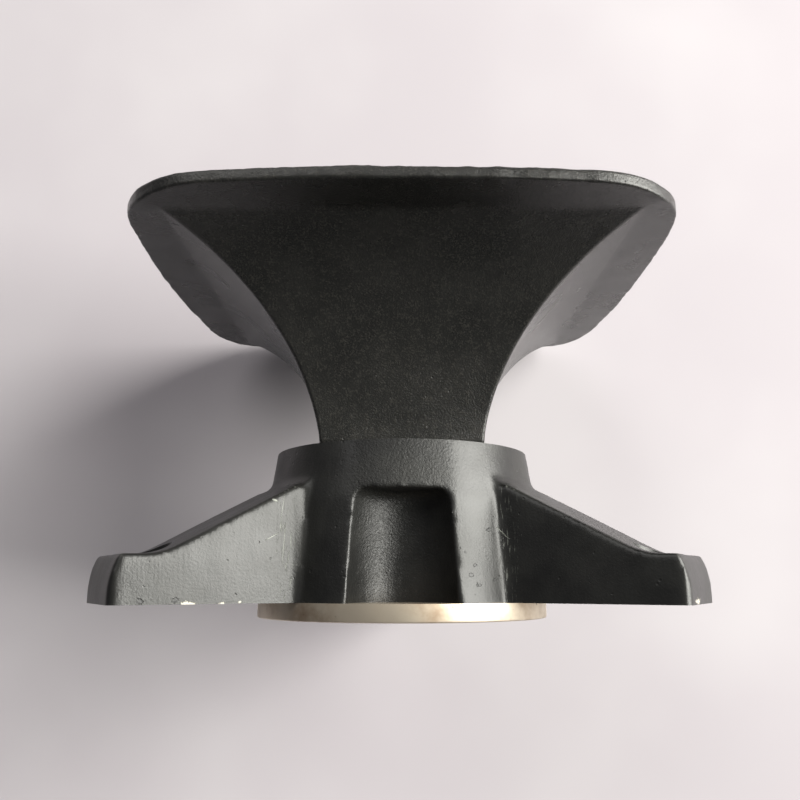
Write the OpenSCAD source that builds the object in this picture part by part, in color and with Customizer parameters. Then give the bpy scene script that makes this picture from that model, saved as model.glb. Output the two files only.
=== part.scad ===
/* [Head] */
// Width of the square head over the middle of its sides
head_w = 200; // [180:1:220]
// Thickness of the head's rim
rim_t = 4.2; // [3:0.1:6]
// Height of the rim's upper edge above the deck
rim_top_z = 135.8; // [130:0.1:145]
// Corner radius of the head in plan
head_corner_r = 36; // [25:1:45]
// How far each side of the head bows outward at its middle
head_bow = 3; // [1:0.5:5]
// Width of the flat ledge under the rim
ledge_w = 18.5; // [14:0.5:24]
// Rise of the ledge from the horn to the rim
ledge_rise = 1.7; // [0.5:0.1:3]
// Rise of the crowned top above the rim
crown_rise = 2.6; // [1:0.1:5]
// Radius of the hollow curve on each side of the horn
horn_r = 92; // [88:0.5:96]
// Height of the centre of the hollow curve above the deck
horn_curve_z = 47.6; // [44:0.1:52]
// Half width of the neck where the hollow curve is narrowest
neck_half = 30.5; // [28:0.5:33]

/* [Base] */
// Height of the collar's upper face above the deck
collar_z = 56.7; // [54:0.1:60]
// Radius of the collar at its upper face
collar_top_r = 50.2; // [48:0.1:52]
// Radius of the collar at the deck
collar_base_r = 56.3; // [55:0.1:58]
// Number of legs
leg_count = 3; // [3]
// Reach of each leg from the centre
leg_reach = 117; // [115:0.5:121]
// Width of each leg
leg_w = 38; // [34:1:42]
// Thickness of the pad at the end of each leg
pad_t = 16.2; // [14:0.1:19]
// Radius of the upright corners at the end of each leg
pad_corner_r = 2.5; // [1.5:0.5:5]
// Angle of the ramp from the pad up to the collar
ramp_angle = 28; // [27:0.5:30]
// Height at which the ramp's flare reaches the collar
flare_top_z = 50.8; // [50:0.1:52]
// Radius of the fillets between the legs and the boss
root_fillet = 5; // [3:0.5:8]
// Width of each pocket at the deck
pocket_w = 38; // [34:0.5:39]
// Height of each pocket
pocket_h = 39.2; // [34:0.1:41]

/* [Fastenings] */
// Distance of each deck bolt hole from the centre
deck_bolt_reach = 104; // [103:0.5:105]
// Diameter of each deck bolt hole, for M12
deck_hole_d = 13.5; // [13:0.1:14.5]
// Diameter of the spot face round each deck bolt hole
spot_d = 22; // [21:0.5:24]
// Diameter of the bolt that ties the head to the base
tie_d = 20; // [20]
// Diameter of the screws that hold the disc
disc_screw_d = 6; // [5:1:6]

/* [Disc] */
// Radius of the machined disc
disc_r = 56.6; // [56.4:0.1:58.5]
// Depth of the disc below the base
disc_t = 6.3; // [6:0.1:9]
// Radius of the hub that centres the disc in the base
hub_r = 30; // [28:0.5:31]
// Height of the hub above the deck
hub_z = 22; // [22:0.5:24]

/* [Hidden] */
$fn = 96;
eps = 0.01;
fit = 0.05;              // radial gap of a located fit
run = 0.5;               // radial gap of a clearance hole

leg_angles = [for (i = [0 : leg_count - 1]) 90 + i * 360 / leg_count];
pocket_angles = [for (a = leg_angles) a + 180 / leg_count];

flare_r = 12.5;
sink = 0.2;                                    // how deep one face of a blend starts inside the other
flare_c = [collar_r(flare_top_z) + flare_r - sink, flare_top_z - sink];
flare_foot = flare_c - flare_r * [sin(ramp_angle), cos(ramp_angle)];
ramp_start = flare_foot[0] + (flare_foot[1] + sink - pad_t) / tan(ramp_angle);

gasket_t = 1;
shoulder_z = collar_z + gasket_t;              // underside of the neck
horn_curve_x = neck_half + horn_r;
ledge_half = head_w / 2 - ledge_w;
ledge_z = rim_top_z - rim_t - ledge_rise;      // where the horn meets the ledge
rim_low_z = rim_top_z - rim_t;
neck_foot = horn_curve_x - sqrt(pow(horn_r, 2) - pow(shoulder_z - horn_curve_z, 2));

tenon_r = 24;
tenon_z = hub_z + 2;                           // lower end of the head's tenon
ring_d = 3.5;                                  // section of the rubber rings
ring_squeeze = 0.3;
neck_ring_z = collar_z - 8;
disc_ring_r = 35;

dowel_r = 4;
dowel_len = 16;
dowel_reach = 34;
dowel_angles = [45, 135];

washer_t = 3;
washer_r = 18.5;
lock_t = 3.6;
lock_r = 16.8;
tie_head_t = 12.5;
tie_head_af = 30;
tie_recess_r = 20;
web_z = hub_z - 7.3;                           // underside of the hub's web
lock_z = web_z - washer_t - lock_t;
tie_tip_z = 50;
tie_hole_z = 53;

screw_reach = 45.5;
screw_head_r = disc_screw_d;
screw_len = 20;
screw_sink = 0.4;

// Radius of the circle whose arc over the given chord rises by the given amount
function bow_r(chord, rise) = (pow(chord / 2, 2) + pow(rise, 2)) / (2 * rise);

// Radius of the collar's and boss's tapered side at a height
function collar_r(z) = collar_base_r - (collar_base_r - collar_top_r) * z / collar_z;

// Points of an arc, from angle a0 to a1
function arc(c, r, a0, a1, n) = [for (i = [0 : n]) c + r * [cos(a0 + (a1 - a0) * i / n), sin(a0 + (a1 - a0) * i / n)]];

// Square outline with bowed sides and rounded corners
module bowed_square(w, bow, corner_r) {
    half = w / 2;
    side_r = bow_r(w - 2 * corner_r, bow);
    turn = asin((half - corner_r) / side_r);
    corner_c = half - bow - corner_r;
    polygon([for (a = [0, 90, 180, 270], p = concat(
        arc([half - side_r, 0], side_r, -turn, turn, 16),
        arc([corner_c, corner_c], corner_r, turn, 90 - turn, 12)))
        [p[0] * cos(a) - p[1] * sin(a), p[0] * sin(a) + p[1] * cos(a)]]);
}

// Side view of the horn, ledge and rim
module horn_profile() {
    reach = head_w / 2 + 2;
    reach_z = rim_low_z + ledge_rise * 2 / ledge_w;
    polygon([[-reach, rim_top_z], [-reach, reach_z], [-ledge_half, ledge_z],
             [ledge_half, ledge_z], [reach, reach_z], [reach, rim_top_z]]);
    difference() {
        translate([-ledge_half, shoulder_z]) square([2 * ledge_half, ledge_z - shoulder_z + eps]);
        for (side = [-1, 1])
            translate([side * horn_curve_x, horn_curve_z]) circle(r = horn_r, $fn = 180);
    }
}

module extrude_across(w) {
    rotate([90, 0, 0]) translate([0, 0, -w / 2]) linear_extrude(w) children();
}

module hex_prism(af, h) {
    cylinder(r = af / sqrt(3), h = h, $fn = 6);
}

module ring(r, z, section) {
    translate([0, 0, z]) rotate_extrude() translate([r, 0]) circle(d = section, $fn = 32);
}

module head_casting() color([0.16, 0.16, 0.15]) difference() {
    union() {
        intersection() {
            extrude_across(head_w + 10) horn_profile();
            rotate([0, 0, 90]) extrude_across(head_w + 10) horn_profile();
            translate([0, 0, shoulder_z]) linear_extrude(rim_top_z) bowed_square(head_w, head_bow, head_corner_r);
        }
        translate([0, 0, tenon_z]) cylinder(r = tenon_r, h = shoulder_z - tenon_z + 1);
        head_crown();
    }
    ring(tenon_r - ring_d / 2 + ring_squeeze, neck_ring_z, ring_d);
    translate([0, 0, tenon_z - 1]) cylinder(d = tie_d + 2 * fit, h = tie_hole_z - tenon_z + 1);
    for (a = dowel_angles)
        rotate(a) translate([dowel_reach, 0, shoulder_z - 1]) cylinder(r = dowel_r + fit, h = dowel_len / 2 + 2);
}

// Low crown that sheds water from the top of the head
module head_crown() {
    crown_half = head_w / 2 - 6;
    crown_r = bow_r(2 * crown_half, crown_rise);
    intersection() {
        translate([0, 0, rim_top_z - 1]) linear_extrude(crown_rise + 2)
            bowed_square(2 * crown_half, head_bow, head_corner_r - 6);
        translate([0, 0, rim_top_z + crown_rise - crown_r])
            rotate([90, 0, 0]) cylinder(r = crown_r, h = head_w, center = true, $fn = 360);
        translate([0, 0, rim_top_z + crown_rise - crown_r])
            rotate([0, 90, 0]) cylinder(r = crown_r, h = head_w, center = true, $fn = 360);
    }
}

// Side view of one leg, outward along X: pad, ramp and the part hidden in the boss
module leg_profile() {
    rise_r = 26;
    end_r = 30;
    end_turn = 22;
    end_low_z = 3;
    edge_r = 1.6;
    edge_x = leg_reach - 4.2;
    inner_x = 46;
    ramp_foot = [ramp_start + rise_r * tan(ramp_angle / 2), pad_t];
    polygon(concat(
        [[inner_x, 0], [leg_reach, 0]],
        arc([leg_reach - end_r, end_low_z], end_r, 0, end_turn, 6),
        arc([edge_x, pad_t - edge_r], edge_r, 30, 90, 3),
        arc(ramp_foot + [0, rise_r], rise_r, 270, 270 - ramp_angle, 8),
        [[inner_x, pad_t + (ramp_start - inner_x) * tan(ramp_angle)]]));
}

// Flare that turns the top of each leg up into the collar
module root_flare() {
    lean = atan((collar_base_r - collar_top_r) / collar_z);
    rotate_extrude($fn = 180) polygon(concat(
        [[hub_r + 2, 1], [flare_foot[0], 1]],
        arc(flare_c, flare_r, 270 - ramp_angle, 180 + lean, 8),
        [[hub_r + 2, flare_c[1]]]));
}

// Plan of one leg, outward along X, with rounded corners at its end and fillets at its root
module leg_plan() {
    half = leg_w / 2;
    boss_r = collar_r(flare_foot[1]);
    root_c = [sqrt(pow(boss_r + root_fillet, 2) - pow(half + root_fillet, 2)), half + root_fillet];
    root_turn = atan(root_c[1] / root_c[0]);
    edge = concat(
        arc([leg_reach - pad_corner_r, half - pad_corner_r], pad_corner_r, 0, 90, 6),
        arc(root_c, root_fillet, 270, 180 + root_turn, 6));
    back_edge = [for (i = [1 : len(edge)]) let (p = edge[len(edge) - i]) [p[0], -p[1]]];
    polygon(concat(edge, [[hub_r + 2, 0]], back_edge));
}

module leg() {
    intersection() {
        linear_extrude(collar_z) leg_plan();
        union() {
            extrude_across(leg_w + 4 * root_fillet) leg_profile();
            root_flare();
        }
    }
}

// Hollow pocket between two legs, with a rounded roof
module pocket() {
    roof_r = 4;
    low_r = pocket_w / 2;
    top_r = low_r - 2.2;
    translate([54, 0, 0]) rotate_extrude() polygon(concat(
        [[0, -1], [low_r, -1], [low_r, 0]],
        arc([top_r - roof_r, pocket_h - roof_r], roof_r, 0, 90, 6),
        [[0, pocket_h]]));
}

module base_casting() color([0.11, 0.11, 0.1]) difference() {
    union() {
        cylinder(r1 = collar_base_r, r2 = collar_top_r, h = collar_z, $fn = 180);
        for (a = leg_angles) rotate(a) leg();
    }
    for (a = pocket_angles) rotate(a) pocket();
    translate([0, 0, -1]) cylinder(r = tenon_r + fit, h = collar_z + 2);
    translate([0, 0, -1]) cylinder(r = hub_r + fit, h = hub_z + 1 + run);
    for (a = leg_angles) rotate(a) {
        translate([deck_bolt_reach, 0, -1]) cylinder(d = deck_hole_d, h = pad_t + 10);
        translate([deck_bolt_reach, 0, pad_t - 0.3]) cylinder(d = spot_d, h = 12);
        translate([screw_reach, 0, -1]) cylinder(d = disc_screw_d + 2 * fit, h = screw_len - disc_t + 3);
    }
    for (a = dowel_angles)
        rotate(a) translate([dowel_reach, 0, shoulder_z - gasket_t - dowel_len / 2 - 1])
            cylinder(r = dowel_r + fit, h = dowel_len);
}

module locating_disc() color([0.74, 0.66, 0.54]) difference() {
    union() {
        translate([0, 0, -disc_t + 0.6]) cylinder(r = disc_r, h = disc_t - 0.6, $fn = 180);
        translate([0, 0, -disc_t]) cylinder(r1 = disc_r - 0.6, r2 = disc_r, h = 0.6, $fn = 180);
        cylinder(r = hub_r, h = hub_z - 1);
        translate([0, 0, hub_z - 1 - eps]) cylinder(r1 = hub_r, r2 = hub_r - 1, h = 1);
    }
    translate([0, 0, -disc_t - 1]) cylinder(r = tie_recess_r, h = web_z + disc_t + 1);
    translate([0, 0, web_z - 1]) cylinder(r = tie_d / 2 + run, h = hub_z);
    ring(disc_ring_r, -ring_d / 2 + ring_squeeze, ring_d);
    for (a = leg_angles) rotate(a) translate([screw_reach, 0, 0]) {
        translate([0, 0, -disc_t - 1]) cylinder(d = disc_screw_d + 2 * run, h = disc_t + 2);
        translate([0, 0, -disc_t - eps]) cylinder(r = screw_head_r + 0.3, h = screw_sink + eps);
        translate([0, 0, -disc_t + screw_sink]) cylinder(r1 = screw_head_r + 0.3, r2 = disc_screw_d / 2 + run, h = 3.3);
    }
}

module tie_bolt() color([0.6, 0.6, 0.6]) {
    translate([0, 0, lock_z - tie_head_t]) intersection() {
        hex_prism(tie_head_af, tie_head_t);
        cylinder(r1 = tie_head_af / 2, r2 = tie_head_af / 2 + 3 * tie_head_t, h = tie_head_t);
    }
    translate([0, 0, lock_z - eps]) cylinder(d = tie_d, h = tie_tip_z - lock_z - 1.5);
    translate([0, 0, tie_tip_z - 1.5 - 2 * eps]) cylinder(d1 = tie_d, d2 = tie_d - 3, h = 1.5);
}

module tie_washer() color([0.66, 0.66, 0.66]) difference() {
    translate([0, 0, web_z - washer_t]) cylinder(r = washer_r, h = washer_t);
    translate([0, 0, web_z - washer_t - 1]) cylinder(r = tie_d / 2 + run, h = washer_t + 2);
}

module lock_washer() color([0.5, 0.5, 0.5]) difference() {
    translate([0, 0, lock_z]) cylinder(r = lock_r, h = lock_t);
    translate([0, 0, lock_z - 1]) cylinder(r = tie_d / 2 + 0.3, h = lock_t + 2);
    rotate(20) translate([lock_r - 4, 0, lock_z + lock_t / 2]) rotate([35, 0, 0]) cube([14, 1.4, 12], center = true);
}

module dowel_pins() color([0.7, 0.7, 0.72]) for (a = dowel_angles)
    rotate(a) translate([dowel_reach, 0, shoulder_z - gasket_t / 2 - dowel_len / 2]) {
        cylinder(r1 = dowel_r - 0.6, r2 = dowel_r, h = 0.6 + eps);
        translate([0, 0, 0.6]) cylinder(r = dowel_r, h = dowel_len - 1.2);
        translate([0, 0, dowel_len - 0.6 - eps]) cylinder(r1 = dowel_r, r2 = dowel_r - 0.6, h = 0.6);
    }

module seat_gasket() color([0.2, 0.2, 0.2]) difference() {
    translate([0, 0, collar_z]) linear_extrude(gasket_t) square(2 * (neck_foot - 1), center = true);
    translate([0, 0, collar_z - 1]) cylinder(r = tenon_r + 3, h = gasket_t + 2);
    for (a = dowel_angles)
        rotate(a) translate([dowel_reach, 0, collar_z - 1]) cylinder(r = dowel_r + fit, h = gasket_t + 2);
}

module neck_o_ring() color([0.1, 0.1, 0.1])
    ring(tenon_r - ring_d / 2 + fit / 2, neck_ring_z, ring_d - 2 * fit);

module disc_o_ring() color([0.1, 0.1, 0.1])
    ring(disc_ring_r, -ring_d / 2, ring_d - 2 * fit);

module disc_screws() color([0.62, 0.62, 0.62]) for (a = leg_angles)
    rotate(a) translate([screw_reach, 0, -disc_t + screw_sink]) difference() {
        union() {
            cylinder(r1 = screw_head_r, r2 = disc_screw_d / 2, h = 3.3);
            translate([0, 0, 3.3 - eps]) cylinder(d = disc_screw_d, h = screw_len - 4.3);
            translate([0, 0, screw_len - 1 - 2 * eps]) cylinder(d1 = disc_screw_d, d2 = disc_screw_d - 2, h = 1);
        }
        translate([0, 0, -1]) hex_prism(4, 3);
    }

head_casting();
base_casting();
locating_disc();
tie_bolt();
tie_washer();
lock_washer();
dowel_pins();
seat_gasket();
neck_o_ring();
disc_o_ring();
disc_screws();
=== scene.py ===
import math

import bmesh
import bpy
from mathutils import Matrix, Vector, noise


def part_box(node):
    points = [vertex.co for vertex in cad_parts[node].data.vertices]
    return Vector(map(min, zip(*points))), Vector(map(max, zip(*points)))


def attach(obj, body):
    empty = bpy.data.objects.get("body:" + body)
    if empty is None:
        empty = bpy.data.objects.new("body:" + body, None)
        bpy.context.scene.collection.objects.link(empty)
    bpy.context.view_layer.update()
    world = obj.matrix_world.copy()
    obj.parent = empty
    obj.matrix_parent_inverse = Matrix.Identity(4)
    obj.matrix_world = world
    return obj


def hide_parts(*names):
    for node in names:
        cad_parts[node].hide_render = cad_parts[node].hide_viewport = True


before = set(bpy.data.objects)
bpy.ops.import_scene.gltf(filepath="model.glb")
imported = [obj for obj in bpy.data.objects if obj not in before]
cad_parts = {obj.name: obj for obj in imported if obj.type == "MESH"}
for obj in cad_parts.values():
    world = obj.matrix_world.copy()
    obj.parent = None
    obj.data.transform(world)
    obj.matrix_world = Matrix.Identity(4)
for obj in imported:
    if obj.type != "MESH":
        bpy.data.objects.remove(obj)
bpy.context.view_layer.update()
scene = bpy.context.scene

headLow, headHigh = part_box("head_casting")
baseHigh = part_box("base_casting")[1]
discLow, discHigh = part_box("locating_disc")
legAngles = [90, 210, 330]
pocketAngles = [30, 150, 270]
tiny = 1e-6
straight = 1e-5  # bow of a side that looks straight
print("frame loaded:", len(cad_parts), "CAD nodes")


def turnZ(degrees):
    return Matrix.Rotation(math.radians(degrees), 4, "Z")


def makePiece(name, bm):
    mesh = bpy.data.meshes.new(name)
    bm.to_mesh(mesh)
    bm.free()
    piece = bpy.data.objects.new(name, mesh)
    scene.collection.objects.link(piece)
    return piece


def applyModifiers(piece):  # the modified mesh becomes the piece's own
    depsgraph = bpy.context.evaluated_depsgraph_get()
    finished = bpy.data.meshes.new_from_object(piece.evaluated_get(depsgraph))
    piece.modifiers.clear()
    piece.data = finished


def cut(piece, cutters):
    for bm in cutters:  # one Boolean for each cutter, then the cutter goes
        tool = makePiece("cutter", bm)
        step = piece.modifiers.new("cut", "BOOLEAN")
        step.operation = "DIFFERENCE"
        step.solver = "MANIFOLD"
        step.object = tool
        applyModifiers(piece)
        bpy.data.objects.remove(tool)


def fuse(piece, voxel):
    step = piece.modifiers.new("fuse", "REMESH")
    step.mode = "VOXEL"
    step.voxel_size = voxel
    applyModifiers(piece)


def cylinderAt(bm, radius, low, high, centre=(0, 0), topRadius=None, segments=96):
    made = bmesh.ops.create_cone(bm, cap_ends=True, segments=segments, radius1=radius,
                                 radius2=radius if topRadius is None else topRadius, depth=high - low)
    bmesh.ops.translate(bm, verts=made["verts"], vec=(centre[0], centre[1], (low + high) / 2))
    return made["verts"]


def roundEdges(bm, edges, width, segments):
    bmesh.ops.bevel(bm, geom=edges, offset=width, offset_type="OFFSET", segments=segments, profile=0.5,
                    affect="EDGES", material=-1, clamp_overlap=True)


def sandSurface(bm, layers, keep=None):
    # uneven cast surface: each layer is a depth, how close its bumps lie, and a shift of the noise
    bm.normal_update()
    moves = []
    for v in bm.verts:
        amount = sum(size * noise.noise(v.co * scale + Vector((seed, seed, seed)))
                     for size, scale, seed in layers)
        moves.append(v.normal * amount * (keep(v.co) if keep else 1))
    for v, move in zip(bm.verts, moves):
        v.co += move


def smoothSurface(bm, rounds):
    for _ in range(rounds):
        bmesh.ops.smooth_vert(bm, verts=bm.verts[:], factor=0.5,
                              use_axis_x=True, use_axis_y=True, use_axis_z=True)


def smoothShade(piece, angle):
    piece.data.shade_smooth()
    piece.data.set_sharp_from_angle(angle=math.radians(angle))


headShape = {
    "rimThickness": 0.0042,
    "cornerRadius": 0.036,
    "sideBow": 0.003,
    "ledgeWidth": 0.0185,
    "ledgeRise": 0.0017,
    "crownRise": 0.0026,
    "hornRadius": 0.092,
    "hornCentreHeight": 0.0476,
    "neckHalf": 0.0305,
    "neckCornerRadius": 0.0014,
    "neckChamfer": (0.0006, 0.0005),    # inward and upward, at the foot of the neck
    "shoulderGap": 0.001,       # gasket between collar and neck
    "rimLowRound": 0.0009,
    "rimHighRound": 0.0013,
    "tenonRadius": 0.024,
    "tenonChamfer": 0.001,
    "boltHoleRadius": 0.01005,
    "boltHoleTop": 0.053,
    "roundGuide": (0.03, 0.001),        # half width and corner of the square that spaces round parts' points
    "crownHalf": 0.095,                 # the crown is level with the rim beyond this
    "crownRings": (0.975, 0.95, 0.92, 0.885, 0.84, 0.79, 0.73, 0.66, 0.58, 0.49, 0.39, 0.28, 0.16, 0.05),
    "sidePoints": 96,
    "cornerPoints": 16,
    "hornSteps": 48,
    "ledgeSteps": 10,
    "rimLowSteps": 4,
    "rimHighSteps": 5,
    "rimSideRings": (0.35, 0.7),
    "grain": [(0.0003, 24, 3), (0.0001, 110, 11)],
    "rimDents": [(0.00025, 150, 31), (0.00022, 420, 47)],
    "dentStart": (0.094, 0.098),        # the dents fade in between these distances from the middle
    "cornerShare": 0.58,                # lets the dents follow the rounded corners
    "grainAboveCollar": 0.003,
}


def outlinePoint(index, half, bow, corner, shape):
    # point of a square with bowed sides and rounded corners, counted round from the right-hand side
    sideCount, cornerCount = shape["sidePoints"], shape["cornerPoints"]
    side, step = divmod(index, sideCount + cornerCount)
    chord = half - corner
    sideRadius = (chord ** 2 + bow ** 2) / (2 * bow)
    turn = math.asin(chord / sideRadius)
    if step < sideCount:
        angle = -turn + 2 * turn * step / sideCount
        point = Vector((half - sideRadius + sideRadius * math.cos(angle), sideRadius * math.sin(angle), 0))
    else:
        angle = turn + (math.pi / 2 - 2 * turn) * (step - sideCount) / cornerCount
        centre = half - bow - corner
        point = Vector((centre + corner * math.cos(angle), centre + corner * math.sin(angle), 0))
    return turnZ(90 * (side % 4)) @ point


def headStations(shape):
    # rings of the casting in order, from inside the bolt hole, out round the horn and rim, to the crown
    top = headHigh.z - shape["crownRise"]
    rimLow = top - shape["rimThickness"]
    ledgeHalf = headHigh.x - shape["ledgeWidth"]
    crease = rimLow - shape["ledgeRise"]
    shoulder = baseHigh.z + shape["shoulderGap"]
    slope = shape["ledgeRise"] / shape["ledgeWidth"]
    radius, centreZ = shape["hornRadius"], shape["hornCentreHeight"]
    centreX = shape["neckHalf"] + radius
    guideHalf, guideCorner = shape["roundGuide"]
    rings = []

    def rounded(half, bow, corner, z):
        def place(index):
            point = outlinePoint(index, half, bow, corner, shape)
            point.z = z(point) if callable(z) else z
            return point
        rings.append(place)

    def circle(r, z):
        def place(index):
            point = outlinePoint(index, guideHalf, straight, guideCorner, shape).normalized() * r
            point.z = z
            return point
        rings.append(place)

    circle(tiny, shape["boltHoleTop"])
    circle(shape["boltHoleRadius"], shape["boltHoleTop"])
    circle(shape["boltHoleRadius"], headLow.z)
    circle(shape["tenonRadius"] - shape["tenonChamfer"], headLow.z)
    circle(shape["tenonRadius"], headLow.z + shape["tenonChamfer"])
    circle(shape["tenonRadius"], shoulder)
    startAngle = math.asin((shoulder - centreZ) / radius)
    endAngle = math.asin((crease - centreZ) / radius)
    foot = centreX - radius * math.cos(startAngle)
    chamferIn, chamferUp = shape["neckChamfer"]
    rounded(foot - chamferIn, straight, shape["neckCornerRadius"], shoulder)
    steps = shape["hornSteps"]
    for i in range(steps + 1):
        angle = startAngle + (endAngle - startAngle) * i / steps
        z = centreZ + radius * math.sin(angle)
        rounded(centreX - radius * math.cos(angle), straight, shape["neckCornerRadius"],
                z + (chamferUp if i == 0 else 0))

    def ledgeZ(point):
        return crease + slope * (max(abs(point.x), abs(point.y)) - ledgeHalf)

    # the ledge runs from the horn's square to the bowed rim
    lowRound, highRound = shape["rimLowRound"], shape["rimHighRound"]
    for i in range(1, shape["ledgeSteps"] + 1):
        share = i / shape["ledgeSteps"]

        def place(index, share=share):
            inner = outlinePoint(index, ledgeHalf, straight, shape["neckCornerRadius"], shape)
            outer = outlinePoint(index, headHigh.x - lowRound, shape["sideBow"],
                                 shape["cornerRadius"] - lowRound, shape)
            point = inner.lerp(outer, share)
            point.z = ledgeZ(point)
            return point
        rings.append(place)

    def rimRing(inset, z):
        rounded(headHigh.x - inset, shape["sideBow"], shape["cornerRadius"] - inset, z)

    for i in range(1, shape["rimLowSteps"] + 1):  # lower edge of the rim
        angle = math.pi / 2 * i / shape["rimLowSteps"]
        rimRing(lowRound * (1 - math.sin(angle)),
                lambda point, angle=angle: ledgeZ(point) + lowRound * (1 - math.cos(angle)))

    def sideZ(point, share):
        return (ledgeZ(point) + lowRound) * (1 - share) + (top - highRound) * share

    for share in shape["rimSideRings"]:
        rimRing(0, lambda point, share=share: sideZ(point, share))
    for i in range(shape["rimHighSteps"] + 1):  # upper edge of the rim
        angle = math.pi / 2 * i / shape["rimHighSteps"]
        rimRing(highRound * (1 - math.cos(angle)), top - highRound * (1 - math.sin(angle)))

    def crownZ(point):
        fallX, fallY = (max(0, 1 - (part / shape["crownHalf"]) ** 2) for part in point.xy)
        return top + shape["crownRise"] * (fallX * fallY)

    for share in shape["crownRings"]:
        rounded(headHigh.x * share, shape["sideBow"] * share, shape["cornerRadius"] * share, crownZ)
    circle(tiny, headHigh.z)
    return rings


def buildHead(shape):
    rings = headStations(shape)
    around = 4 * (shape["sidePoints"] + shape["cornerPoints"])
    bm = bmesh.new()
    bmesh.ops.create_grid(bm, x_segments=around, y_segments=len(rings) - 1, size=1)
    for v in bm.verts:  # the flat grid is rolled round the casting, one row for each ring
        index = round((v.co.x + 1) / 2 * around) % around
        row = round((v.co.y + 1) / 2 * (len(rings) - 1))
        v.co = rings[row](index)
    bmesh.ops.remove_doubles(bm, verts=bm.verts[:], dist=2 * tiny)
    bmesh.ops.recalc_face_normals(bm, faces=bm.faces[:])
    ledge = headHigh.z - shape["crownRise"] - shape["rimThickness"] - shape["ledgeRise"]

    dentFrom, dentTo = shape["dentStart"]

    def outsideOnly(co):
        return 1 if co.z > baseHigh.z + shape["grainAboveCollar"] else 0

    def rimOnly(co):
        reach = max(abs(co.x), abs(co.y), (abs(co.x) + abs(co.y)) * shape["cornerShare"])
        return max(0, min(1, (reach - dentFrom) / (dentTo - dentFrom))) if co.z > ledge else 0

    sandSurface(bm, shape["grain"], outsideOnly)
    sandSurface(bm, shape["rimDents"], rimOnly)
    for v in bm.verts:  # nothing stands outside the size of the casting
        v.co = Vector([max(low, min(high, part)) for low, high, part in zip(headLow, headHigh, v.co)])
    return makePiece("headCasting", bm)


headCasting = buildHead(headShape)
smoothShade(headCasting, 50)
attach(headCasting, "root")
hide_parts("head_casting")
print("head casting:", len(headCasting.data.polygons), "faces")


baseShape = {
    "deckRadius": 0.0563,
    "collarRadius": 0.0502,
    "legReach": {90: 0.1168, 210: 0.1169, 330: 0.115},  # the right-hand leg is ground shorter
    "legHalf": 0.019,
    "padThickness": 0.0162,
    "padCorner": 0.0028,
    "rampAngle": 28,
    "rampRound": 0.026,
    "flareTop": 0.0508,
    "flareRadius": 0.0125,
    "flareSink": 0.0002,
    "rootLow": {"fillet": 0.002, "bossRadius": 0.0565},
    "rootHigh": {"fillet": 0.002, "bossRadius": 0.0534},
    "waistHeight": 0.036,
    "waistRadius": 0.0537,              # fuller than a straight taper
    "legInner": 0.036,
    "legSteps": (90, 30),
    "legCrowding": 1.6,                 # above 1, the steps along a leg crowd together at its end
    "flareOverlap": 0.004,
    "bossSegments": 180,
    "endRound": 0.030,
    "endLow": 0.003,
    "pocketReach": 0.054,
    "pocketRadius": 0.019,
    "pocketTopRadius": 0.0168,
    "pocketHeight": 0.0392,
    "pocketRoof": 0.004,
    "pocketWiden": 0.0004,
    "pocketSegments": 72,
    "machiningStock": 0.003,    # extra iron that the faces are cut back through
    "voxel": 0.0009,
    "smoothings": 6,
    "grain": [(0.00022, 35, 5), (0.00007, 140, 13)],
    "cutBelow": 0.01,
    "slabDepth": 0.02,
    "slabWidth": 0.4,
    "tenonBore": 0.02405,
    "tenonBoreTop": 0.08,
    "hubBore": 0.03005,
    "hubTop": 0.0225,
    "boltReach": 0.104,
    "boltHole": 0.00675,
    "boltHoleTop": 0.05,
    "spotFace": 0.011,
    "spotFaceTop": 0.028,
    "spotDepth": 0.0003,
}


def coneRadius(z, shape):
    return shape["deckRadius"] + (shape["collarRadius"] - shape["deckRadius"]) * z / baseHigh.z


def legOutline(x, reach, root, shape):
    # half width of a leg, with its rounded end and the fillets at its root
    half, corner = shape["legHalf"], shape["padCorner"]
    fillet, bossRadius = root["fillet"], root["bossRadius"]
    filletX = math.sqrt((bossRadius + fillet) ** 2 - (half + fillet) ** 2)
    joinX = filletX * bossRadius / (bossRadius + fillet)
    if x > reach - corner:
        past = x - (reach - corner)
        return half - corner + math.sqrt(max(0, corner ** 2 - past ** 2))
    if x < filletX:
        back = filletX - max(x, joinX)
        return half + fillet - math.sqrt(fillet ** 2 - back ** 2)
    return half


def legHeight(x, y, reach, shape):
    # pad, ramp and flare; the flare follows the round collar
    tilt = math.radians(shape["rampAngle"])
    flare, sink = shape["flareRadius"], shape["flareSink"]
    centreR = coneRadius(shape["flareTop"], shape) + flare - sink
    centreZ = shape["flareTop"] - sink
    footR, footZ = centreR - flare * math.sin(tilt), centreZ - flare * math.cos(tilt)
    pad, bend = shape["padThickness"], shape["rampRound"]
    start = footR + (footZ - pad) / math.tan(tilt)
    bendEnd = start + bend * math.tan(tilt / 2)
    bendStart = bendEnd - bend * math.sin(tilt)
    if x >= bendEnd:
        height = pad
    elif x > bendStart:
        height = pad + bend - math.sqrt(bend ** 2 - (bendEnd - x) ** 2)
    else:
        height = pad + (start - x) * math.tan(tilt)
    radial = math.hypot(x, y)
    if radial < footR:
        height = max(height if x > footR - shape["flareOverlap"] else 0,
                     centreZ - math.sqrt(max(0, flare ** 2 - (radial - centreR) ** 2)))
    roundX = reach - shape["endRound"]
    if x > roundX:
        drop = math.sqrt(max(0, shape["endRound"] ** 2 - (x - roundX) ** 2))
        height = min(height, shape["endLow"] + drop)
    return min(height, shape["flareTop"])


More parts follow.
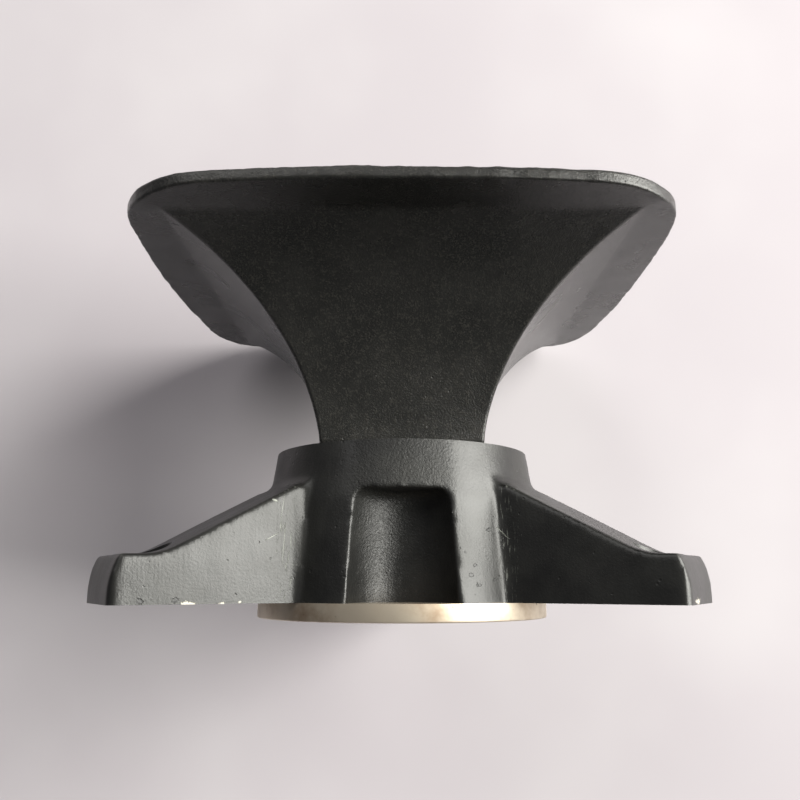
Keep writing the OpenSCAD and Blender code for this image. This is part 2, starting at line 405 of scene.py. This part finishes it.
def addLeg(bm, angle, shape):
    inner, reach, stock = shape["legInner"], shape["legReach"][angle], shape["machiningStock"]
    lengthSteps, widthSteps = shape["legSteps"]
    made = bmesh.ops.create_grid(bm, x_segments=lengthSteps, y_segments=widthSteps, size=1)
    sheet = made["verts"]
    faces = list({f for v in sheet for f in v.link_faces})
    for v in sheet:
        share = (v.co.x + 1) / 2
        x = inner + (reach - inner) * (1 - (1 - share) ** shape["legCrowding"])
        y = v.co.y * legOutline(x, reach, shape["rootHigh"], shape)
        v.co = Vector((x, y, legHeight(x, y, reach, shape)))
    lowered = bmesh.ops.extrude_face_region(bm, geom=faces)["geom"]
    bottom = [g for g in lowered if isinstance(g, bmesh.types.BMVert)]
    for v in bottom:
        low, high = (legOutline(v.co.x, reach, shape[root], shape) for root in ("rootLow", "rootHigh"))
        v.co = Vector((v.co.x, v.co.y * (low / high), -stock))
    bmesh.ops.transform(bm, matrix=turnZ(angle), verts=sheet + bottom)


def pocketCutter(angle, shape):
    bm = bmesh.new()
    low = -2 * shape["machiningStock"]
    cylinderAt(bm, shape["pocketRadius"] + shape["pocketWiden"], low, shape["pocketHeight"],
               topRadius=shape["pocketTopRadius"], segments=shape["pocketSegments"])
    roof = [e for e in bm.edges if all(v.co.z > shape["pocketHeight"] - tiny for v in e.verts)]
    roundEdges(bm, roof, shape["pocketRoof"], 6)
    bmesh.ops.translate(bm, verts=bm.verts[:], vec=(shape["pocketReach"], 0, 0))
    bmesh.ops.transform(bm, matrix=turnZ(angle), verts=bm.verts[:])
    return bm


def holeCutter(holes):
    bm = bmesh.new()
    for radius, low, high, centre in holes:
        cylinderAt(bm, radius, low, high, centre)
    return bm


def slabCutter(low, high, width):
    bm = bmesh.new()
    bmesh.ops.create_cube(bm, size=1)
    bmesh.ops.scale(bm, vec=(width, width, high - low), verts=bm.verts[:])
    bmesh.ops.translate(bm, vec=(0, 0, (low + high) / 2), verts=bm.verts[:])
    return bm


def buildBase(shape):
    stock = shape["machiningStock"]
    bm = bmesh.new()
    cylinderAt(bm, coneRadius(-stock, shape), -stock, baseHigh.z + stock,
               topRadius=coneRadius(baseHigh.z + stock, shape), segments=shape["bossSegments"])
    waist = bmesh.ops.bisect_plane(bm, geom=bm.verts[:] + bm.edges[:] + bm.faces[:],
                                   plane_co=(0, 0, shape["waistHeight"]), plane_no=(0, 0, 1))["geom_cut"]
    for v in waist:
        if isinstance(v, bmesh.types.BMVert):
            v.co.xy = v.co.xy.normalized() * shape["waistRadius"]
    piece = makePiece("baseCasting", bm)
    cut(piece, [pocketCutter(angle, shape) for angle in pocketAngles])
    bm = bmesh.new()
    bm.from_mesh(piece.data)
    for angle in legAngles:
        addLeg(bm, angle, shape)
    bmesh.ops.recalc_face_normals(bm, faces=bm.faces[:])
    bm.to_mesh(piece.data)
    bm.free()
    fuse(piece, shape["voxel"])
    bm = bmesh.new()
    bm.from_mesh(piece.data)
    smoothSurface(bm, shape["smoothings"])
    sandSurface(bm, shape["grain"])
    bm.to_mesh(piece.data)
    bm.free()
    # machining: deck face and collar face, bores, then the spot faces and holes for the deck bolts
    spot = shape["padThickness"] - shape["spotDepth"]
    places = [(turnZ(a) @ Vector((shape["boltReach"], 0, 0))).xy for a in legAngles]
    under, middle, slab, wide = -shape["cutBelow"], (0, 0), shape["slabDepth"], shape["slabWidth"]
    cut(piece, [
        slabCutter(-slab, 0, wide),
        slabCutter(baseHigh.z, baseHigh.z + slab, wide),
        holeCutter([(shape["tenonBore"], under, shape["tenonBoreTop"], middle)]),
        holeCutter([(shape["hubBore"], under, shape["hubTop"], middle)]),
        holeCutter([(shape["spotFace"], spot, shape["spotFaceTop"], place) for place in places]),
        holeCutter([(shape["boltHole"], under, shape["boltHoleTop"], place) for place in places]),
    ])
    return piece


baseCasting = buildBase(baseShape)
smoothShade(baseCasting, 50)
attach(baseCasting, "root")
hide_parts("base_casting")
print("base casting:", len(baseCasting.data.polygons), "faces")


discShape = {
    "edgeBreak": 0.0007,
    "hubRadius": 0.03,
    "recessRadius": 0.02,
    "webLow": 0.0147,
    "boltClearance": 0.0105,
    "screwReach": 0.0455,
    "screwClearance": 0.0035,
    "screwHead": 0.0063,
    "screwGap": 0.0004,
    "coneDepth": 0.0036,
    "screwHoleSpan": (-0.02, 0.01),
    "screwSegments": 48,
    "segments": 256,
}


def buildDisc(shape):
    # half section from the bolt hole out, spun once round
    low, high, radius, nick = discLow.z, discHigh.z, discHigh.x, shape["edgeBreak"]
    section = [(shape["boltClearance"], high), (shape["boltClearance"], shape["webLow"]),
               (shape["recessRadius"], shape["webLow"]), (shape["recessRadius"], low),
               (radius, low), (radius, 0), (shape["hubRadius"], 0), (shape["hubRadius"], high)]
    bm = bmesh.new()
    verts = [bm.verts.new((r, 0, z)) for r, z in section]
    bm.faces.new(verts)
    corners = [verts[3], verts[4], verts[7]]  # the broken edges: recess, rim and hub
    bmesh.ops.bevel(bm, geom=corners, offset=nick, offset_type="OFFSET", segments=3, profile=0.5,
                    affect="VERTICES", material=-1)
    bmesh.ops.delete(bm, geom=bm.faces[:], context="FACES_ONLY")
    bmesh.ops.spin(bm, geom=bm.verts[:] + bm.edges[:], cent=(0, 0, 0), axis=(0, 0, 1), angle=math.tau,
                   steps=shape["segments"], use_merge=True)
    bmesh.ops.remove_doubles(bm, verts=bm.verts[:], dist=tiny)
    bmesh.ops.recalc_face_normals(bm, faces=bm.faces[:])
    piece = makePiece("locatingDisc", bm)
    hole, gap, turns = shape["screwClearance"], shape["screwGap"], shape["screwSegments"]
    cutters = []
    for angle in legAngles:
        place = (turnZ(angle) @ Vector((shape["screwReach"], 0, 0))).xy
        for radius, start, end in ((hole, *shape["screwHoleSpan"]),
                                   (shape["screwHead"] + gap, low - gap, low + shape["coneDepth"])):
            bm = bmesh.new()
            cylinderAt(bm, radius, start, end, place, topRadius=hole, segments=turns)
            cutters.append(bm)
    cut(piece, cutters)
    return piece


locatingDisc = buildDisc(discShape)
smoothShade(locatingDisc, 30)
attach(locatingDisc, "root")
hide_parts("locating_disc")
print("disc:", len(locatingDisc.data.polygons), "faces")


def fillSockets(tree, node, sockets):
    for key, value in sockets.items():
        if isinstance(value, bpy.types.NodeSocket):
            tree.links.new(value, node.inputs[key])
        else:
            node.inputs[key].default_value = value


def addNode(tree, kind, sockets=None, **settings):
    node = tree.nodes.new(kind)
    for name, value in settings.items():
        setattr(node, name, value)
    fillSockets(tree, node, sockets or {})
    return node


def startGroup(name, inputs, outputs):
    group = bpy.data.node_groups.new(name, "ShaderNodeTree")
    for label, kind, value in inputs:
        socket = group.interface.new_socket(name=label, in_out="INPUT", socket_type="NodeSocket" + kind)
        if value is not None:
            socket.default_value = value
    for label, kind in outputs:
        group.interface.new_socket(name=label, in_out="OUTPUT", socket_type="NodeSocket" + kind)
    return group, addNode(group, "NodeGroupInput").outputs, addNode(group, "NodeGroupOutput").inputs


def useGroup(tree, group, sockets):
    return addNode(tree, "ShaderNodeGroup", sockets, node_tree=group).outputs


def calculate(tree, operation, a, b):
    return addNode(tree, "ShaderNodeMath", {0: a, 1: b}, operation=operation).outputs[0]


def times(tree, a, b):
    return calculate(tree, "MULTIPLY", a, b)


def stronger(tree, a, b):
    return calculate(tree, "MAXIMUM", a, b)


def noiseOf(tree, place, scale, detail, roughness=0.5):
    sockets = {"Vector": place, "Scale": scale, "Detail": detail, "Roughness": roughness}
    return addNode(tree, "ShaderNodeTexNoise", sockets).outputs["Fac"]


def span(tree, value, low, high, newLow=0.0, newHigh=1.0):
    sockets = {"Value": value, "From Min": low, "From Max": high, "To Min": newLow, "To Max": newHigh}
    return addNode(tree, "ShaderNodeMapRange", sockets, interpolation_type="SMOOTHSTEP").outputs["Result"]


def mixColour(tree, share, a, b):
    # a colour mix takes its factor and colours at sockets 0, 6 and 7, and gives its colour at socket 2
    return addNode(tree, "ShaderNodeMix", {0: share, 6: a, 7: b}, data_type="RGBA").outputs[2]


# sand grain of a casting: its height, and a mask of the deeper pits
grainLook = {"detail": 3.0, "roughness": 0.65, "coarseDetail": 2.0, "coarseShare": 0.3,
             "pitSize": (0.05, 0.22), "pitPlaces": (0.55, 0.66)}
castGrain, grainIn, grainOut = startGroup(
    "castGrain",
    [("Vector", "Vector", None), ("Grains", "Float", 900.0), ("Pits", "Float", 260.0)],
    [("Height", "Float"), ("Pit", "Float")])
fine = noiseOf(castGrain, grainIn["Vector"], grainIn["Grains"], grainLook["detail"], grainLook["roughness"])
coarse = noiseOf(castGrain, grainIn["Vector"], grainIn["Pits"], grainLook["coarseDetail"])
cells = addNode(castGrain, "ShaderNodeTexVoronoi",
                {"Vector": grainIn["Vector"], "Scale": grainIn["Pits"]}).outputs["Distance"]
pitShape = span(castGrain, cells, *grainLook["pitSize"], 1.0, 0.0)
pitPlaces = span(castGrain, coarse, *grainLook["pitPlaces"])
castGrain.links.new(times(castGrain, pitShape, pitPlaces), grainOut["Pit"])
castGrain.links.new(calculate(castGrain, "ADD", fine, times(castGrain, coarse, grainLook["coarseShare"])),
                    grainOut["Height"])

# worn edges: a mask of outside corners, broken up by noise
wearLook = {"detail": 4.0, "roughness": 0.7, "gaps": (0.42, 0.6)}
edgeWear, wearIn, wearOut = startGroup(
    "edgeWear",
    [("Vector", "Vector", None), ("Start", "Float", 0.53), ("End", "Float", 0.62),
     ("Breaks", "Float", 160.0)],
    [("Mask", "Float")])
corner = addNode(edgeWear, "ShaderNodeNewGeometry").outputs["Pointiness"]
broken = noiseOf(edgeWear, wearIn["Vector"], wearIn["Breaks"], wearLook["detail"], wearLook["roughness"])
edge = span(edgeWear, corner, wearIn["Start"], wearIn["End"])
edgeWear.links.new(times(edgeWear, edge, span(edgeWear, broken, *wearLook["gaps"])), wearOut["Mask"])

# runs and brush marks down the paint, and wider patches
runsLook = {"stretch": (1.0, 1.0, 0.12), "detail": 3.0, "roughness": 0.6,
            "patchScale": 38.0, "patchDetail": 5.0, "patchRoughness": 0.6}
paintRuns, runsIn, runsOut = startGroup(
    "paintRuns",
    [("Vector", "Vector", None), ("Width", "Float", 220.0)],
    [("Height", "Float"), ("Patch", "Float")])
stretched = addNode(paintRuns, "ShaderNodeMapping",
                    {"Vector": runsIn["Vector"], "Scale": runsLook["stretch"]}).outputs["Vector"]
runs = noiseOf(paintRuns, stretched, runsIn["Width"], runsLook["detail"], runsLook["roughness"])
patch = noiseOf(paintRuns, runsIn["Vector"], runsLook["patchScale"], runsLook["patchDetail"],
                runsLook["patchRoughness"])
paintRuns.links.new(runs, runsOut["Height"])
paintRuns.links.new(patch, runsOut["Patch"])

# one local mark: an ellipsoid at a place, with a ragged edge
markLook = {"scale": 700.0, "detail": 3.0, "roughness": 0.7, "raggedScale": 4.0, "edge": (0.7, 1.0)}
localMark, markIn, markOut = startGroup(
    "localMark",
    [("Vector", "Vector", None), ("Centre", "Vector", (0.0, 0.0, 0.0)), ("Turn", "Vector", (0.0, 0.0, 0.0)),
     ("Reach", "Vector", (0.001, 0.001, 0.001)), ("Ragged", "Float", 0.5)],
    [("Mask", "Float")])
within = addNode(localMark, "ShaderNodeMapping",
                 {"Vector": markIn["Vector"], "Location": markIn["Centre"], "Rotation": markIn["Turn"],
                  "Scale": markIn["Reach"]}, vector_type="TEXTURE").outputs["Vector"]
away = addNode(localMark, "ShaderNodeVectorMath", {0: within}, operation="LENGTH").outputs["Value"]
roughEdge = noiseOf(localMark, markIn["Vector"], markLook["scale"], markLook["detail"], markLook["roughness"])
shift = times(localMark, calculate(localMark, "SUBTRACT", roughEdge, 0.5),
              times(localMark, markIn["Ragged"], markLook["raggedScale"]))
away = calculate(localMark, "ADD", away, shift)
localMark.links.new(span(localMark, away, *markLook["edge"], 1.0, 0.0), markOut["Mask"])
print("shader groups made")


def startMaterial(name):
    material = bpy.data.materials.new(name)
    material.use_nodes = True
    tree = material.node_tree
    tree.nodes.clear()
    surface = addNode(tree, "ShaderNodeBsdfPrincipled")
    addNode(tree, "ShaderNodeOutputMaterial", {"Surface": surface.outputs["BSDF"]})
    place = addNode(tree, "ShaderNodeTexCoord").outputs["Object"]
    return material, tree, surface, place


def bumpOf(tree, height, strength, distance, normal=None):
    sockets = {"Height": height, "Strength": strength, "Distance": distance}
    if normal:
        sockets["Normal"] = normal
    return addNode(tree, "ShaderNodeBump", sockets).outputs["Normal"]


def endsOf(value, spread):  # low and high ends of a range about a value
    return value + spread[0], value + spread[1]


def marksOf(tree, place, marks, ragged):
    # the strongest of several local marks: each is a centre, its reach along the axes, its turn in degrees
    total = None
    for centre, reach, turn in marks:
        sockets = {"Vector": place, "Centre": centre, "Reach": reach, "Ragged": ragged,
                   "Turn": tuple(math.radians(angle) for angle in turn)}
        mask = useGroup(tree, localMark, sockets)["Mask"]
        total = mask if total is None else stronger(tree, total, mask)
    return total


def headPaint():
    finish = {
        "dark": (0.014, 0.014, 0.013, 1), "light": (0.020, 0.0195, 0.018, 1), "patches": (0.35, 0.7),
        "sand": (0.042, 0.040, 0.035, 1), "sandHeight": (0.66, 0.8), "sandShare": 0.7,
        "pitColour": (0.006, 0.006, 0.006, 1), "pitShare": 0.7,
        "chalk": (0.17, 0.175, 0.15, 1), "chalkShare": 0.5, "wear": (0.54, 0.66), "wearBreaks": 170.0,
        "grains": 1500.0, "pits": 420.0, "runs": 200.0,
        "roughness": 0.25, "roughSpread": (-0.04, 0.06), "roughPatches": (0.2, 0.8),
        "topRoughness": 0.62, "topDepth": (0.0042, 0.0030), "specular": 0.5,
        "grainBump": (0.55, 0.0004), "pitBump": (0.35, -0.0004),
    }
    material, tree, surface, place = startMaterial("headPaint")
    grain = useGroup(tree, castGrain, {"Vector": place, "Grains": finish["grains"], "Pits": finish["pits"]})
    start, end = finish["wear"]
    wear = useGroup(tree, edgeWear, {"Vector": place, "Start": start, "End": end,
                                     "Breaks": finish["wearBreaks"]})["Mask"]
    patches = useGroup(tree, paintRuns, {"Vector": place, "Width": finish["runs"]})["Patch"]
    colour = mixColour(tree, span(tree, patches, *finish["patches"]), finish["dark"], finish["light"])
    sandy = span(tree, grain["Height"], *finish["sandHeight"], 0.0, finish["sandShare"])
    colour = mixColour(tree, sandy, colour, finish["sand"])
    colour = mixColour(tree, times(tree, grain["Pit"], finish["pitShare"]), colour, finish["pitColour"])
    colour = mixColour(tree, times(tree, wear, finish["chalkShare"]), colour, finish["chalk"])
    roughness = span(tree, patches, *finish["roughPatches"],
                     *endsOf(finish["roughness"], finish["roughSpread"]))
    height = addNode(tree, "ShaderNodeSeparateXYZ", {"Vector": place}).outputs["Z"]
    low, high = (headHigh.z - depth for depth in finish["topDepth"])  # the top is rubbed dull
    dulled = times(tree, span(tree, height, low, high), finish["topRoughness"])
    normal = bumpOf(tree, grain["Height"], *finish["grainBump"])
    normal = bumpOf(tree, grain["Pit"], *finish["pitBump"], normal)
    fillSockets(tree, surface, {"Base Color": colour, "Roughness": stronger(tree, roughness, dulled),
                                "Normal": normal, "Specular IOR Level": finish["specular"]})
    return material


def basePaint():
    finish = {
        "dark": (0.009, 0.009, 0.0085, 1), "light": (0.020, 0.020, 0.018, 1), "patches": (0.35, 0.7),
        "chalk": (0.14, 0.14, 0.12, 1), "chalkShare": 0.4, "wear": (0.53, 0.62), "wearBreaks": 210.0,
        "primer": (0.42, 0.40, 0.34, 1), "scratch": (0.22, 0.23, 0.20, 1),
        "pitColour": (0.004, 0.004, 0.004, 1),
        "grains": 1200.0, "pits": 300.0, "runs": 330.0, "streaks": 1500.0, "streakEdge": (0.57, 0.68),
        "streakShare": 0.5, "roughness": 0.37, "roughSpread": (-0.04, 0.06), "roughPatches": (0.25, 0.75),
        "chipRoughness": 0.4, "pocketRoughness": 0.13, "specular": 0.5,
        "pocketGrain": 0.7, "grainStrength": 0.2, "grainDistance": 0.0004,
        "runsBump": (0.15, 0.0004), "pitBump": (0.3, -0.0005), "pitDepth": 2.0, "chipBump": (0.5, -0.0002),
        "pocketReach": (0.0205, 0.0205, 1),
        "ragged": {"rubbed": 0.5, "pocket": 0.1, "chips": 0.9, "pits": 0.6, "scratches": 0.2},
        "chipPlaces": [
            ((-0.0694, -0.0620, 0.0003), (0.0040, 0.0024, 0.0007), (0, 0, -30)),
            ((-0.0598, -0.0565, 0.0002), (0.0014, 0.0010, 0.0005), (0, 0, -30)),
            ((-0.0545, -0.0534, 0.0005), (0.0007, 0.0007, 0.0005), (0, 0, 0)),
            ((-0.0923, -0.0752, 0.0012), (0.0009, 0.0009, 0.0010), (0, 0, 0)),
            ((-0.0938, -0.0761, 0.0063), (0.0006, 0.0006, 0.0006), (0, 0, 0)),
            ((0.0955, -0.0645, 0.0010), (0.0024, 0.0036, 0.0010), (0, 0, -30)),
            ((0.0303, -0.0490, 0.0380), (0.0003, 0.0003, 0.0003), (0, 0, 0)),
        ],
        "pitPlaces": [
            ((0.0303, -0.0446, 0.0250), (0.0009, 0.0012, 0.0008), (0, 0, 0)),
            ((0.0322, -0.0457, 0.0078), (0.0007, 0.0009, 0.0006), (0, 0, 0)),
            ((0.0236, -0.0505, 0.0094), (0.0010, 0.0012, 0.0007), (0, 0, 0)),
            ((0.0251, -0.0496, 0.0128), (0.0008, 0.0012, 0.0006), (0, 0, 0)),
            ((0.0266, -0.0491, 0.0060), (0.0006, 0.0010, 0.0005), (0, 0, 0)),
            ((0.0199, -0.0516, 0.0185), (0.0005, 0.0010, 0.0005), (0, 0, 0)),
            ((0.0216, -0.0509, 0.0171), (0.0005, 0.0010, 0.0004), (0, 0, 0)),
            ((0.0178, -0.0522, 0.0380), (0.0007, 0.0012, 0.0008), (0, 0, 0)),
            ((-0.0830, -0.0699, 0.0012), (0.0012, 0.0012, 0.0010), (0, 0, 0)),
            ((-0.0734, -0.0643, 0.0014), (0.0009, 0.0012, 0.0010), (0, 0, 0)),
        ],
        "scratchPlaces": [
            ((0.0372, -0.0405, 0.0225), (0.0032, 0.004, 0.00022), (0, 35, 0)),
            ((0.0352, -0.0420, 0.0245), (0.0026, 0.004, 0.00016), (0, 42, 0)),
            ((0.0386, -0.0400, 0.0190), (0.0002, 0.004, 0.0036), (0, -8, 0)),
            ((-0.0452, -0.0480, 0.0225), (0.0030, 0.003, 0.00016), (0, -32, 0)),
            ((-0.0420, -0.0465, 0.0330), (0.0001, 0.003, 0.0050), (0, 6, 0)),
            ((-0.0413, -0.0460, 0.0200), (0.0001, 0.003, 0.0080), (0, 3, 0)),
            ((-0.0446, -0.0477, 0.0352), (0.0011, 0.003, 0.0004), (0, 20, 0)),
        ],
        "rubbedPlaces": [
            ((-0.0405, -0.0445, 0.0220), (0.0040, 0.008, 0.0290), (0, 0, 0)),
            ((0.0375, -0.0425, 0.0220), (0.0040, 0.008, 0.0290), (0, 0, 0)),
        ],
    }
    material, tree, surface, place = startMaterial("basePaint")
    ragged = finish["ragged"]
    grain = useGroup(tree, castGrain, {"Vector": place, "Grains": finish["grains"], "Pits": finish["pits"]})
    start, end = finish["wear"]
    wear = useGroup(tree, edgeWear, {"Vector": place, "Start": start, "End": end,
                                     "Breaks": finish["wearBreaks"]})["Mask"]
    runs = useGroup(tree, paintRuns, {"Vector": place, "Width": finish["runs"]})
    streaks = useGroup(tree, paintRuns, {"Vector": place, "Width": finish["streaks"]})["Height"]
    rubbed = times(tree, marksOf(tree, place, finish["rubbedPlaces"], ragged["rubbed"]),
                   span(tree, streaks, *finish["streakEdge"]))
    outward = Vector((baseShape["pocketReach"], 0, 0))
    pocketMarks = [((turnZ(angle) @ outward)[:], finish["pocketReach"], (0, 0, 0)) for angle in pocketAngles]
    pockets = marksOf(tree, place, pocketMarks, ragged["pocket"])
    chips = marksOf(tree, place, finish["chipPlaces"], ragged["chips"])
    pits = marksOf(tree, place, finish["pitPlaces"], ragged["pits"])
    scratches = stronger(tree, marksOf(tree, place, finish["scratchPlaces"], ragged["scratches"]),
                         times(tree, rubbed, finish["streakShare"]))
    colour = mixColour(tree, span(tree, runs["Patch"], *finish["patches"]), finish["dark"], finish["light"])
    colour = mixColour(tree, times(tree, wear, finish["chalkShare"]), colour, finish["chalk"])
    colour = mixColour(tree, scratches, colour, finish["scratch"])
    colour = mixColour(tree, pits, colour, finish["pitColour"])
    colour = mixColour(tree, chips, colour, finish["primer"])
    roughness = span(tree, runs["Patch"], *finish["roughPatches"],
                     *endsOf(finish["roughness"], finish["roughSpread"]))
    roughness = calculate(tree, "ADD", roughness, times(tree, pockets, finish["pocketRoughness"]))
    roughness = stronger(tree, roughness, times(tree, chips, finish["chipRoughness"]))
    grainDepth = calculate(tree, "ADD", times(tree, pockets, finish["pocketGrain"]), finish["grainStrength"])
    pitHeight = calculate(tree, "ADD", grain["Pit"], times(tree, pits, finish["pitDepth"]))
    normal = bumpOf(tree, runs["Height"], *finish["runsBump"])
    normal = bumpOf(tree, grain["Height"], grainDepth, finish["grainDistance"], normal)
    normal = bumpOf(tree, pitHeight, *finish["pitBump"], normal)
    normal = bumpOf(tree, stronger(tree, chips, scratches), *finish["chipBump"], normal)
    fillSockets(tree, surface, {"Base Color": colour, "Roughness": roughness, "Normal": normal,
                                "Specular IOR Level": finish["specular"]})
    return material


metalShared = {
    "grains": 900.0, "pits": 300.0, "runs": 160.0, "stainEdge": (0.42, 0.68),
    "pitColour": (0.03, 0.02, 0.014, 1), "pitShare": 0.8, "roughPatches": (0.25, 0.75),
    "roughSpread": (-0.05, 0.15), "linesBump": (0.12, 0.0002), "pitBump": (0.4, -0.0003),
    "distortion": 0.4, "detail": 2.0, "detailScale": 3.0,
}


def bareMetal(name, own):
    finish = {**metalShared, **own}
    material, tree, surface, place = startMaterial(name)
    grain = useGroup(tree, castGrain, {"Vector": place, "Grains": finish["grains"], "Pits": finish["pits"]})
    turned = addNode(tree, "ShaderNodeTexWave",
                     {"Vector": place, "Scale": finish["lines"], "Distortion": finish["distortion"],
                      "Detail": finish["detail"], "Detail Scale": finish["detailScale"]},
                     wave_type="RINGS", rings_direction="Z").outputs["Fac"]
    patches = useGroup(tree, paintRuns, {"Vector": place, "Width": finish["runs"]})["Patch"]
    mask = times(tree, span(tree, patches, *finish["stainEdge"]), finish["stainShare"])
    tint = mixColour(tree, mask, finish["colour"], finish["stain"])
    tint = mixColour(tree, times(tree, grain["Pit"], finish["pitShare"]), tint, finish["pitColour"])
    rough = span(tree, patches, *finish["roughPatches"], *endsOf(finish["roughness"], finish["roughSpread"]))
    normal = bumpOf(tree, turned, *finish["linesBump"])
    normal = bumpOf(tree, grain["Pit"], *finish["pitBump"], normal)
    fillSockets(tree, surface, {"Base Color": tint, "Roughness": rough, "Normal": normal,
                                "Metallic": finish["metallic"]})
    return material


def sealRubber():
    finish = {
        "dark": (0.012, 0.012, 0.012, 1), "light": (0.03, 0.03, 0.029, 1), "patches": (0.3, 0.7),
        "grains": 1600.0, "pits": 500.0, "runs": 200.0, "roughness": 0.7, "grainBump": (0.2, 0.0002),
    }
    material, tree, surface, place = startMaterial("sealRubber")
    grain = useGroup(tree, castGrain, {"Vector": place, "Grains": finish["grains"], "Pits": finish["pits"]})
    patches = useGroup(tree, paintRuns, {"Vector": place, "Width": finish["runs"]})["Patch"]
    colour = mixColour(tree, span(tree, patches, *finish["patches"]), finish["dark"], finish["light"])
    normal = bumpOf(tree, grain["Height"], *finish["grainBump"])
    fillSockets(tree, surface, {"Base Color": colour, "Roughness": finish["roughness"], "Normal": normal})
    return material


def paint(piece, material):
    piece.data.materials.clear()
    piece.data.materials.append(material)


metals = {
    "discMetal": {"colour": (0.62, 0.54, 0.43, 1), "roughness": 0.40, "lines": 900.0,
                  "stain": (0.22, 0.13, 0.07, 1), "stainShare": 0.75, "metallic": 0.75},
    "zincSteel": {"colour": (0.62, 0.62, 0.60, 1), "roughness": 0.36, "lines": 500.0,
                  "stain": (0.36, 0.34, 0.30, 1), "stainShare": 0.5, "metallic": 1.0},
    "groundSteel": {"colour": (0.55, 0.55, 0.56, 1), "roughness": 0.25, "lines": 800.0,
                    "stain": (0.35, 0.34, 0.33, 1), "stainShare": 0.4, "metallic": 1.0},
}
headCoat, baseCoat, rubber = headPaint(), basePaint(), sealRubber()
discMetal, zincSteel, groundSteel = (bareMetal(name, own) for name, own in metals.items())
paint(headCasting, headCoat)
paint(baseCasting, baseCoat)
paint(locatingDisc, discMetal)
for name in ("tie_bolt", "tie_washer", "lock_washer", "disc_screws"):
    paint(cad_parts[name], zincSteel)
paint(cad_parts["dowel_pins"], groundSteel)
for name in ("seat_gasket", "neck_o_ring", "disc_o_ring"):
    paint(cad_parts[name], rubber)
print("materials made")


stage = {
    "floorHalf": 0.9,
    "floorTouch": 0.004,                # height above the deck, and below the rim, where the floor touches
    "floorGap": 0.0006,
    "floorNoise": (6.0, 3.0),
    "floorPatches": (0.3, 0.7),
    "floorRoughness": 0.9,
    "paintedShadeFrom": (-0.5, -0.2),          # painted shade: the floor darkens to the left between these distances
    "floorDark": (0.50, 0.465, 0.495, 1),
    "floorLight": (0.56, 0.53, 0.555, 1),
    "floorPaintedShade": (0.22, 0.205, 0.215, 1),
    "worldColour": (0.95, 0.95, 1.0, 1),
    "worldStrength": 0.11,
    "window": {"place": (2.24, -1.30, 0.50), "aim": (0, 0, 0.05), "size": (2.4, 1.9), "power": 225,
               "colour": (1.0, 0.99, 0.93)},
    "fill": {"place": (-0.9, -1.6, 1.6), "aim": (0, 0, 0.06), "size": (1.6, 1.6), "power": 18,
             "colour": (1.0, 0.98, 0.96)},
    "back": {"place": (-0.2, 1.4, 0.6), "aim": (0, 0, 0.06), "size": (1.4, 1.4), "power": 10,
             "colour": (0.96, 0.98, 1.0)},
    "cameraPlace": (-0.00074, -0.33985, 0.00791),
    "cameraTilt": 12.21,
    "focal": 37.35,
    "sensor": 36,
    "clipStart": 0.01,
}


def buildFloor(shape):
    # the fitting lies on its back: the floor touches the rear pad and the back edge of the head
    padPoint = Vector((0, baseHigh.y, shape["floorTouch"]))
    rimPoint = Vector((0, headHigh.y, headHigh.z - shape["floorTouch"]))
    along = (rimPoint - padPoint).normalized()
    outward = Vector((1, 0, 0)).cross(along).normalized()
    if outward.y > 0:
        outward.negate()
    turn = Vector((0, 0, 1)).rotation_difference(outward).to_matrix().to_4x4()
    bm = bmesh.new()
    bmesh.ops.create_grid(bm, x_segments=1, y_segments=1, size=shape["floorHalf"])
    middle = Matrix.Translation((padPoint + rimPoint) / 2 - outward * shape["floorGap"])
    bmesh.ops.transform(bm, matrix=middle @ turn, verts=bm.verts[:])
    floor = makePiece("floor", bm)
    floor.visible_shadow = False
    material, tree, surface, place = startMaterial("paleFloor")
    tone = noiseOf(tree, place, *shape["floorNoise"])
    tone = span(tree, tone, *shape["floorPatches"])
    colour = mixColour(tree, tone, shape["floorDark"], shape["floorLight"])
    # painted shade: the floor colour darkens towards the left
    across = addNode(tree, "ShaderNodeSeparateXYZ", {"Vector": place}).outputs["X"]
    colour = mixColour(tree, span(tree, across, *shape["paintedShadeFrom"]), shape["floorPaintedShade"], colour)
    fillSockets(tree, surface, {"Base Color": colour, "Roughness": shape["floorRoughness"]})
    hidden = addNode(tree, "ShaderNodeBsdfTransparent").outputs["BSDF"]
    behind = addNode(tree, "ShaderNodeNewGeometry").outputs["Backfacing"]
    both = addNode(tree, "ShaderNodeMixShader", {0: behind, 1: surface.outputs["BSDF"], 2: hidden}).outputs[0]
    output = next(node for node in tree.nodes if node.type == "OUTPUT_MATERIAL")
    tree.links.new(both, output.inputs["Surface"])
    paint(floor, material)


def addSoftLight(name, light):
    lamp = bpy.data.lights.new(name, "AREA")
    lamp.shape = "RECTANGLE"
    lamp.size, lamp.size_y = light["size"]
    lamp.energy = light["power"]
    lamp.color = light["colour"]
    lampObject = bpy.data.objects.new(name, lamp)
    lampObject.location = light["place"]
    aim = Vector(light["aim"]) - Vector(light["place"])
    lampObject.rotation_euler = aim.to_track_quat("-Z", "Y").to_euler()
    scene.collection.objects.link(lampObject)


buildFloor(stage)
for name in ("window", "fill", "back"):
    addSoftLight(name, stage[name])

world = bpy.data.worlds.new("paleRoom")
world.use_nodes = True
sky = world.node_tree.nodes["Background"]
sky.inputs["Color"].default_value = stage["worldColour"]
sky.inputs["Strength"].default_value = stage["worldStrength"]
scene.world = world
scene.view_settings.view_transform = "Standard"

lens = bpy.data.cameras.new("camera")
lens.lens = stage["focal"]
lens.sensor_width = stage["sensor"]
lens.clip_start = stage["clipStart"]
camera = bpy.data.objects.new("camera", lens)
camera.location = stage["cameraPlace"]
camera.rotation_euler = (math.radians(90 + stage["cameraTilt"]), 0, 0)
scene.collection.objects.link(camera)
scene.camera = camera
print("floor, light and camera set")
